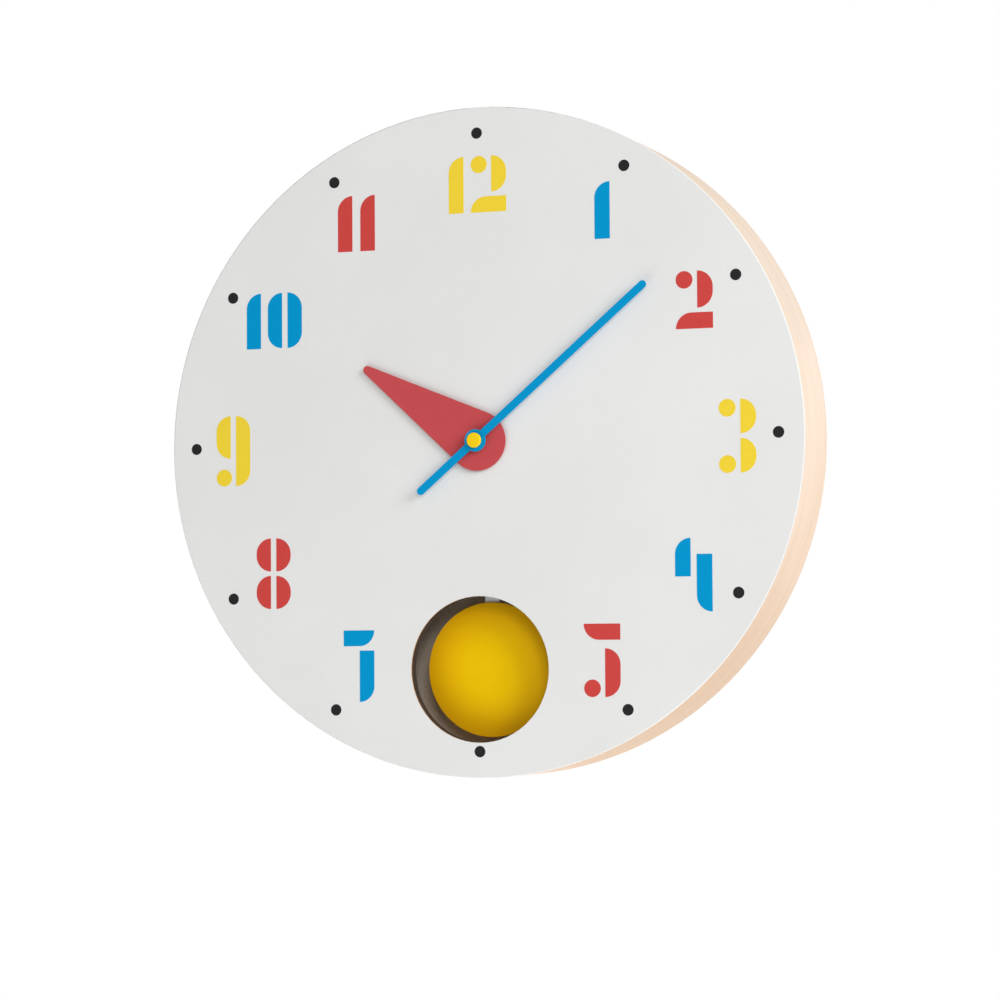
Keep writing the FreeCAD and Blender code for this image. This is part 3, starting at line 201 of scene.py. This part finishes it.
def dial_white():
    """Matt white laminate. Its cut edge in the window is a thin line of brown paper core."""
    f = Finish("dial_white", {"Specular IOR Level": 0.2})
    cloud = f.noise(14, 3.0)
    grain = f.noise(2400, 3.0)
    white = f.mixed(f.span(cloud, 0.35, 0.65), rgb(229, 229, 227), rgb(233, 233, 232))
    white = f.mixed(f.span(grain, 0.35, 0.7, 0.0, 0.35), white, rgb(222, 222, 220))
    in_window = f.span(f.radius_from(0.0, WINDOW_Z), WINDOW_REACH, WINDOW_REACH + 0.2 * MM, 1.0, 0.0)
    wall = f.calc("SUBTRACT", 1.0, f.facing_front())
    core = f.mixed(f.noise(1800), rgb(206, 160, 96), rgb(176, 132, 76))
    f.paint(f.mixed(f.calc("MULTIPLY", in_window, wall), white, core))
    f.rough(grain, 0.5, 0.62)
    f.bump(grain, 0.012 * MM)
    f.bump(f.noise(500, 2.0), 0.02 * MM)


def board_brown():
    """Dark fibreboard: pressed layers along its thickness, and short fibres."""
    f = Finish("board_brown", {"Specular IOR Level": 0.2})
    layers = f.noise(1.0, 3.0, f.stretched((160, 2600, 160)))
    fibres = f.noise(2200, 4.0)
    brown = f.mixed(f.span(layers, 0.35, 0.65), rgb(62, 54, 52), rgb(76, 66, 62))
    f.paint(f.mixed(f.span(fibres, 0.4, 0.7, 0.0, 0.6), brown, rgb(44, 38, 37)))
    f.rough(fibres, 0.75, 0.95)
    f.bump(fibres, 0.06 * MM)


def panel_brown():
    """Fibreboard: faint sanding lines on the front, and the print of the press's wire screen on the rear."""
    f = Finish("panel_brown", {"Specular IOR Level": 0.15})
    sanding = f.noise(1.0, 4.0, f.stretched((1300, 1300, 60), (0, math.radians(38), 0)))
    fibres = f.noise(1500, 4.0)
    cloud = f.noise(22, 3.0)
    specks = f.cells(420)
    tan = f.mixed(f.span(cloud, 0.35, 0.65), rgb(232, 218, 198), rgb(238, 225, 206))
    tan = f.mixed(f.span(sanding, 0.4, 0.7, 0.0, 0.4), tan, rgb(214, 199, 178))
    tan = f.mixed(f.span(fibres, 0.45, 0.75, 0.0, 0.4), tan, rgb(210, 194, 172))
    tan = f.mixed(f.span(specks, 0.06, 0.16, 0.5, 0.0), tan, rgb(150, 128, 102))
    x, _, z = f.axes()
    waves = [f.calc("SINE", f.calc("MULTIPLY", along, 2 * math.pi / SCREEN_PITCH)) for along in (x, z)]
    screen = f.span(f.calc("MULTIPLY", waves[0], waves[1]), -1.0, 1.0)
    towards_wall = f.span(f.axes(f.add("NewGeometry").outputs["Normal"])[1], 0.4, 0.8)
    screen = f.calc("MULTIPLY", screen, towards_wall)
    f.paint(f.mixed(f.calc("MULTIPLY", screen, 0.35), tan, rgb(160, 138, 112)))
    f.rough(fibres, 0.65, 0.85)
    f.bump(sanding, 0.01 * MM)
    f.bump(fibres, 0.03 * MM)
    f.bump(screen, 0.12 * MM)


def case_wood():
    """Bent beech, its colour warmer and darker towards the bottom: grain along the circumference and fine pores."""
    f = Finish("case_wood", {"Specular IOR Level": 0.2})
    x, y, z = f.axes()
    radius = f.radius_from(0.0, 0.0)

    def along_ring(slow, fast):
        vector = f.vector(f.calc("MULTIPLY", x, slow), f.calc("MULTIPLY", y, fast), f.calc("MULTIPLY", z, slow))
        return vector, f.calc("MULTIPLY", radius, fast)

    def grain(slow, fast, detail):
        vector, w = along_ring(slow, fast)
        return f.noise(1.0, detail, vector, w)

    bands = grain(9, 170, 2.0)
    lines = grain(16, 1300, 3.0)
    pores = grain(260, 2600, 1.0)
    pale = f.mixed(f.span(bands, 0.35, 0.65), rgb(238, 221, 203), rgb(233, 214, 194))
    warm = f.mixed(f.span(bands, 0.35, 0.65), rgb(231, 202, 176), rgb(226, 195, 167))
    # the colour goes warmer and darker towards the bottom, paler towards the top
    tone = f.mixed(f.span(z, *RING_TONE_HEIGHTS, 1.0, 0.0), pale, warm)
    tone = f.mixed(f.span(lines, 0.4, 0.68, 0.0, 0.4), tone, rgb(220, 192, 166))
    f.paint(f.mixed(f.span(pores, 0.63, 0.72, 0.0, 0.35), tone, rgb(206, 172, 142)))
    f.rough(lines, 0.42, 0.58)
    f.bump(lines, 0.02 * MM)
    f.bump(pores, 0.02 * MM)


def block_wood():
    """Sawn pine."""
    f = Finish("block_wood", {"Specular IOR Level": 0.25})
    rings = f.noise(1.0, 2.0, f.stretched((60, 420, 60)))
    fibres = f.noise(1.0, 3.0, f.stretched((260, 2600, 260)))
    tone = f.mixed(f.span(rings, 0.35, 0.65), rgb(222, 190, 140), rgb(196, 152, 98))
    f.paint(f.mixed(f.span(fibres, 0.4, 0.7, 0.0, 0.5), tone, rgb(172, 128, 80)))
    f.rough(fibres, 0.65, 0.85)
    f.bump(fibres, 0.05 * MM)


# ---------------------------------------------------------------- inks and paints


def ink(slot, colour, shade):
    """Screen-printed ink: even, with a faint mottle and the laminate's own grain under it."""
    f = Finish(slot, {"Specular IOR Level": 0.06})
    mottle = f.noise(900, 3.0)
    grain = f.noise(2400, 3.0)
    f.paint(f.mixed(f.span(mottle, 0.35, 0.7, 0.0, 0.5), colour, shade))
    f.rough(grain, 0.42, 0.55)
    f.bump(grain, 0.012 * MM)


def enamel(slot, colour, shade, roughness, depth=0.01 * MM, painted_shade_rim=None):
    """Sprayed paint with fine orange peel. On the bob, painted shade makes the paint deeper and more orange towards
    its edge.
    """
    f = Finish(slot, {"Specular IOR Level": 0.08})
    peel = f.noise(1100, 2.0)
    tone = f.mixed(f.span(f.noise(120, 3.0), 0.35, 0.7, 0.0, 0.6), colour, shade)
    if painted_shade_rim:
        # painted shade: the bob's yellow turns deeper towards its edge
        tone = f.mixed(f.span(f.radius_from(0.0, BOB_Z), *BOB_PAINTED_SHADE), tone, painted_shade_rim)
    f.paint(tone)
    f.rough(peel, roughness - 0.05, roughness + 0.05)
    f.bump(peel, depth)


# ---------------------------------------------------------------- metals


def metal(slot, colour, shade, roughness, stretch, depth=0.004 * MM):
    """Metal with fine lines where the place is stretched unevenly."""
    f = Finish(slot, {"Metallic": 1.0})
    lines = f.noise(1.0, 3.0, f.stretched(stretch))
    stain = f.noise(160, 3.0)
    tone = f.mixed(f.span(lines, 0.3, 0.7), colour, shade)
    f.paint(f.mixed(f.span(stain, 0.5, 0.75, 0.0, 0.35), tone, shade))
    f.rough(lines, roughness - 0.08, roughness + 0.1)
    f.bump(lines, depth)


def coil_copper():
    """Enamelled wire, wound in close turns, with painted shade in the grooves between them."""
    f = Finish("coil_copper", {"Metallic": 1.0, "Coat Weight": 0.6, "Coat Roughness": 0.15})
    turns = f.calc("SINE", f.calc("MULTIPLY", f.axes()[2], 2 * math.pi / WIRE_PITCH))
    height = f.span(turns, -1.0, 1.0)
    # painted shade: the copper goes dark in the grooves between turns
    f.paint(f.mixed(height, rgb(110, 44, 20), rgb(206, 112, 66)))
    f.rough(f.noise(900), 0.25, 0.4)
    f.bump(height, 0.08 * MM)


# ---------------------------------------------------------------- plastics and the rest


def plastic(slot, colour, shade, roughness, grain=1500, depth=0.015 * MM):
    """Moulded plastic with a spark-eroded grain."""
    f = Finish(slot, {"Specular IOR Level": 0.5})
    texture = f.noise(grain, 3.0)
    f.paint(f.mixed(f.span(f.noise(90, 3.0), 0.35, 0.7), colour, shade))
    f.rough(texture, roughness - 0.06, roughness + 0.08)
    f.bump(texture, depth)


def circuit_laminate():
    """Green solder mask, in light patches with darker edges."""
    f = Finish("circuit_laminate", {"Specular IOR Level": 0.5})
    tracks = f.cells(620, feature="DISTANCE_TO_EDGE")
    weave = f.noise(1.0, 1.0, f.stretched((2400, 2400, 2400)))
    green = f.mixed(f.span(weave, 0.35, 0.65), rgb(26, 84, 52), rgb(34, 100, 62))
    edges = f.span(tracks, 0.05, 0.08, 1.0, 0.0)
    f.paint(f.mixed(edges, rgb(70, 140, 84), green))
    f.rough(weave, 0.3, 0.45)
    f.bump(edges, 0.03 * MM)


def battery_jacket():
    """Plain cell: steel ends, a dark jacket and a copper-coloured band at the positive end."""
    f = Finish("battery_jacket", {"Coat Weight": 0.5, "Coat Roughness": 0.12})
    low, high = BATTERY_LOW, BATTERY_HIGH
    x = f.axes()[0]
    scratches = f.noise(1.0, 3.0, f.stretched((120, 2200, 2200)))
    jacket = f.mixed(f.span(f.noise(300), 0.35, 0.7), rgb(34, 36, 40), rgb(44, 46, 50))
    band = f.mixed(f.span(scratches, 0.3, 0.7), rgb(196, 128, 66), rgb(176, 108, 52))
    steel = f.mixed(f.span(scratches, 0.3, 0.7), rgb(196, 196, 194), rgb(168, 168, 168))
    band_from = high.x - BATTERY_BAND
    low_steel, high_steel = low.x + BATTERY_ENDS[0], high.x - BATTERY_ENDS[1]
    in_band = f.span(x, band_from - BAND_FADE, band_from)
    ends = f.calc("MAXIMUM", f.span(x, high_steel, high_steel + STEEL_FADE),
                  f.span(x, low_steel, low_steel + STEEL_FADE, 1.0, 0.0))
    f.paint(f.mixed(ends, f.mixed(in_band, jacket, band), steel))
    f.feed(f.shader.inputs["Metallic"], f.calc("MAXIMUM", ends, f.calc("MULTIPLY", in_band, 0.6)))
    f.rough(scratches, 0.22, 0.36)
    f.bump(scratches, 0.004 * MM)


def finishes():
    dial_white()
    board_brown()
    panel_brown()
    case_wood()
    block_wood()
    ink("ink_yellow", rgb(242, 212, 60), rgb(237, 206, 51))
    ink("ink_blue", rgb(0, 150, 206), rgb(0, 144, 201))
    ink("ink_red", rgb(206, 72, 68), rgb(200, 68, 64))
    ink("ink_black", rgb(42, 42, 43), rgb(36, 36, 37))
    enamel("hand_red", rgb(198, 78, 82), rgb(194, 75, 79), 0.55)
    enamel("hand_blue", rgb(0, 149, 206), rgb(0, 145, 201), 0.5)
    enamel("cap_yellow", rgb(248, 210, 27), rgb(243, 202, 21), 0.5, 0.03 * MM)
    # the last colour is painted shade, deepening the bob's yellow towards its edge
    enamel("bob_yellow", rgb(255, 207, 0), rgb(252, 202, 0), 0.65, painted_shade_rim=rgb(248, 184, 6))
    enamel("rod_painted", rgb(249, 249, 245), rgb(243, 243, 238), 0.4)
    metal("screw_steel", rgb(196, 196, 192), rgb(156, 156, 152), 0.32, (900, 900, 900))
    metal("plated_steel", rgb(206, 204, 198), rgb(172, 170, 162), 0.34, (120, 2400, 2400))
    metal("nut_brass", rgb(214, 178, 104), rgb(190, 150, 80), 0.28, (700, 700, 700))
    metal("magnet_metal", rgb(120, 122, 126), rgb(92, 94, 98), 0.3, (1200, 1200, 1200))
    coil_copper()
    plastic("movement_plastic", rgb(26, 26, 28), rgb(34, 34, 36), 0.52)
    plastic("knob_plastic", rgb(58, 58, 60), rgb(48, 48, 50), 0.45)
    plastic("bobbin_plastic", rgb(214, 210, 196), rgb(204, 198, 184), 0.45)
    plastic("gear_plastic", rgb(232, 228, 214), rgb(222, 218, 202), 0.35)
    plastic("washer_rubber", rgb(24, 24, 24), rgb(32, 32, 32), 0.8, 2600, 0.02 * MM)
    plastic("chip_resin", rgb(20, 20, 22), rgb(28, 28, 30), 0.3)
    circuit_laminate()
    battery_jacket()


finishes()

# ---------------------------------------------------------------- raised marks on the movement

MARK_FOOT = 0.2 * MM         # how far a mark starts under the cover's surface
MARK_HEIGHT = 0.35 * MM
MARK_WIDTH = 0.9 * MM
MARK_EDGE = 0.1 * MM
SIGN_REACH = 1.6 * MM        # half the length of the plus and minus
SIGN_INSET = 4.0 * MM        # from the battery's ends
SIGN_LIFT = 3.0 * MM         # above the battery's room
ARROW_GAP = 2.0 * MM         # between the knob and its arrow
ARROW_TURN = (-40, 200)      # degrees from +X towards +Z
ARROW_STEP = 6               # degrees
ARROW_HEAD = 1.5 * MM        # half the width of the arrow's head
ARROW_LEAD = 1.6             # length of the head, in half widths
FRAME_HALF = (11.0 * MM, 7.0 * MM)
FRAME_CORNER = 2.0 * MM
CORNER_STEP = 15             # degrees
FRAME_MIDDLE_Z = -46.0 * MM
RIB_COUNT = 6
RIB_PITCH = 2.6 * MM
RIB_HALF = 7.0 * MM
RIB_PLACE = (-11.0 * MM, 20.0 * MM)             # middle of the ribs over the gears


def bar_loop(x, z, half_x, half_z):
    """Outline of a bar round its middle."""
    return [(x - half_x, z - half_z), (x + half_x, z - half_z), (x + half_x, z + half_z), (x - half_x, z + half_z)]


def plus_loop(x, z, reach, half):
    """Outline of a plus sign, one quarter after another."""
    corner = [(reach, -half), (reach, half), (half, half)]
    loop = []
    for _ in range(4):
        loop += [(x + px, z + pz) for px, pz in corner]
        corner = [(-pz, px) for px, pz in corner]
    return loop


def arc(x, z, radius, start, end, step):
    """Points round x and z from one angle to another in degrees, about a step apart."""
    count = max(1, round(abs(end - start) / step))
    turns = [math.radians(start + (end - start) * i / count) for i in range(count + 1)]
    return [(x + radius * math.cos(a), z + radius * math.sin(a)) for a in turns]


def arrow_loop(x, z, radius, start, end):
    """Curved arrow round a point, with its head at the end."""
    half = MARK_WIDTH / 2
    lead = math.degrees(ARROW_HEAD * ARROW_LEAD / radius)
    head = [(radius + ARROW_HEAD, end), (radius, end + lead), (radius - ARROW_HEAD, end)]
    head = [(x + r * math.cos(math.radians(a)), z + r * math.sin(math.radians(a))) for r, a in head]
    return arc(x, z, radius + half, start, end, ARROW_STEP) + head + arc(x, z, radius - half, end, start, ARROW_STEP)


def rounded_loop(x, z, half_x, half_z, corner):
    """Outline of a bar with round corners."""
    loop = []
    for turn, sx, sz in ((0, 1, 1), (90, -1, 1), (180, -1, -1), (270, 1, -1)):
        loop += arc(x + sx * (half_x - corner), z + sz * (half_z - corner), corner, turn, turn + 90, CORNER_STEP)
    return loop


def marks(name, solids, slot, body):
    """Low blocks with eased edges on the rear cover. Each solid is an outline, or an outline and a hole in it."""
    made = bmesh.new()
    foot, top = COVER_HIGH.y - MARK_FOOT, COVER_HIGH.y + MARK_HEIGHT
    for outline, hole in solids:
        rings = [[[made.verts.new((x, y, z)) for x, z in loop] for y in (foot, top)]
                 for loop in (outline, hole) if loop]
        for low, high in rings:
            for i in range(len(low)):
                j = (i + 1) % len(low)
                made.faces.new((low[i], low[j], high[j], high[i]))
        for level in (0, 1):
            if hole:
                outer, inner = rings[0][level], rings[1][level]
                for i in range(len(outer)):
                    j = (i + 1) % len(outer)
                    made.faces.new((outer[i], outer[j], inner[j], inner[i]))
            else:
                made.faces.new(rings[0][level])
    bmesh.ops.recalc_face_normals(made, faces=made.faces)
    mesh = bpy.data.meshes.new(name)
    made.to_mesh(mesh)
    made.free()
    piece = bpy.data.objects.new(name, mesh)
    bpy.context.scene.collection.objects.link(piece)
    mesh.materials.append(bpy.data.materials[slot])
    eased = piece.modifiers.new("eased", "BEVEL")
    eased.width = MARK_EDGE
    eased.segments = 2
    eased.limit_method = "ANGLE"
    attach(piece, body)


def cover_marks():
    """Plus and minus by the battery, an arrow round the knob, an empty frame, and ribs over the gears."""
    half = MARK_WIDTH / 2
    signs_z = BATTERY_HIGH.z + SIGN_LIFT
    plus = plus_loop(BATTERY_HIGH.x - SIGN_INSET, signs_z, SIGN_REACH, half)
    minus = bar_loop(BATTERY_LOW.x + SIGN_INSET, signs_z, SIGN_REACH, half)
    marks("polarity_marks", [(plus, None), (minus, None)], "movement_plastic", "case")

    knob = (KNOB_LOW + KNOB_HIGH) / 2
    radius = (KNOB_HIGH.x - KNOB_LOW.x) / 2 + ARROW_GAP
    arrow = arrow_loop(knob.x, knob.z, radius, *ARROW_TURN)
    marks("setting_arrow", [(arrow, None)], "movement_plastic", "case")

    outer = rounded_loop(0, FRAME_MIDDLE_Z, FRAME_HALF[0], FRAME_HALF[1], FRAME_CORNER)
    inner = rounded_loop(0, FRAME_MIDDLE_Z, FRAME_HALF[0] - MARK_WIDTH, FRAME_HALF[1] - MARK_WIDTH,
                         FRAME_CORNER - half)
    marks("blank_frame", [(outer, inner)], "movement_plastic", "case")

    ribs = [(bar_loop(RIB_PLACE[0], RIB_PLACE[1] - i * RIB_PITCH, RIB_HALF, half), None) for i in range(RIB_COUNT)]
    marks("cover_ribs", ribs, "movement_plastic", "case")


cover_marks()

# ---------------------------------------------------------------- camera

CAMERA_PLACE = Vector((0.50339, -1.39902, -0.09709))
CAMERA_FORWARD = Vector((-0.34043, 0.93901, 0.04864)).normalized()
CAMERA_UP = Vector((0.0222, -0.04368, 0.9988))
CAMERA_LENS = 117.26         # millimetres, as the sensor's width
CAMERA_SENSOR = 36.0


def camera():
    made = bpy.data.objects.new("camera", bpy.data.cameras.new("camera"))
    bpy.context.scene.collection.objects.link(made)
    made.data.lens = CAMERA_LENS
    made.data.sensor_width = CAMERA_SENSOR
    right = CAMERA_FORWARD.cross(CAMERA_UP).normalized()
    up = right.cross(CAMERA_FORWARD)
    turn = Matrix((right, up, -CAMERA_FORWARD)).transposed().to_4x4()
    made.matrix_world = Matrix.Translation(CAMERA_PLACE) @ turn
    bpy.context.scene.camera = made


# ---------------------------------------------------------------- studio

FLOOR_Z = -0.9
FLOOR_SOLID = 1.2            # the floor fades into the white round it between these radii
FLOOR_END = 2.2
SKY_STRENGTH = 0.34          # of the room's light on the clock. The room itself is seen at 1
LIGHTS = {                   # azimuth and elevation in degrees, distance and size in metres, power in watts
    "key_light": (62.0, 20.0, 2.0, 0.9, 23.5),
    "front_fill": (24.0, 15.0, 2.0, 0.6, 8.2),
    "low_bounce": (-25.0, -45.0, 1.1, 0.8, 2.9),
    "from_above": (100.0, 75.0, 2.0, 0.9, 9.0),
    "from_below": (100.0, -75.0, 0.8, 0.6, 2.1),
    "rear_right": (165.0, 0.0, 2.0, 0.9, 8.0),
    "rear_left": (215.0, -25.0, 1.6, 0.9, 7.0),
}


def floor():
    """Pale floor under the clock, which fades into the white of the room."""
    bpy.ops.mesh.primitive_circle_add(vertices=96, radius=FLOOR_END, fill_type="NGON", location=(0, 0, FLOOR_Z))
    made = bpy.context.object
    made.name = "floor"
    finish = bpy.data.materials.new("floor_pale")
    finish.use_nodes = True
    made.data.materials.append(finish)
    f = Finish("floor_pale", {"Roughness": 0.9, "Specular IOR Level": 0.1})
    f.paint(f.mixed(f.span(f.noise(6, 2.0), 0.3, 0.7), rgb(243, 243, 242), rgb(240, 240, 239)))
    x, y, _ = f.axes()
    length = f.calc("SQRT", f.calc("ADD", f.calc("MULTIPLY", x, x), f.calc("MULTIPLY", y, y)))
    f.feed(f.shader.inputs["Alpha"], f.span(length, FLOOR_SOLID, FLOOR_END, 1.0, 0.0))


def soft_box(name, azimuth, elevation, distance, size, power):
    """Square light aimed at the clock. Azimuth is measured from straight in front, positive to the right."""
    light = bpy.data.lights.new(name, "AREA")
    light.shape = "SQUARE"
    light.size = size
    light.energy = power
    made = bpy.data.objects.new(name, light)
    bpy.context.scene.collection.objects.link(made)
    a, e = math.radians(azimuth), math.radians(elevation)
    direction = Vector((math.sin(a) * math.cos(e), -math.cos(a) * math.cos(e), math.sin(e)))
    made.location = direction * distance
    made.rotation_mode = "QUATERNION"
    made.rotation_quaternion = direction.to_track_quat("Z", "Y")


def room():
    """White room: pure white where it is seen, and a softer light on the clock."""
    world = bpy.data.worlds.new("room")
    world.use_nodes = True
    tree = world.node_tree
    background = tree.nodes["Background"]
    background.inputs["Color"].default_value = (1.0, 1.0, 1.0, 1.0)
    seen = tree.nodes.new("ShaderNodeLightPath").outputs["Is Camera Ray"]
    strength = tree.nodes.new("ShaderNodeMapRange")
    strength.inputs["To Min"].default_value = SKY_STRENGTH
    strength.inputs["To Max"].default_value = 1.0
    tree.links.new(seen, strength.inputs["Value"])
    tree.links.new(strength.outputs[0], background.inputs["Strength"])
    bpy.context.scene.world = world


camera()
floor()
room()
for light_name, numbers in LIGHTS.items():
    soft_box(light_name, *numbers)
bpy.context.scene.view_settings.view_transform = "Standard"
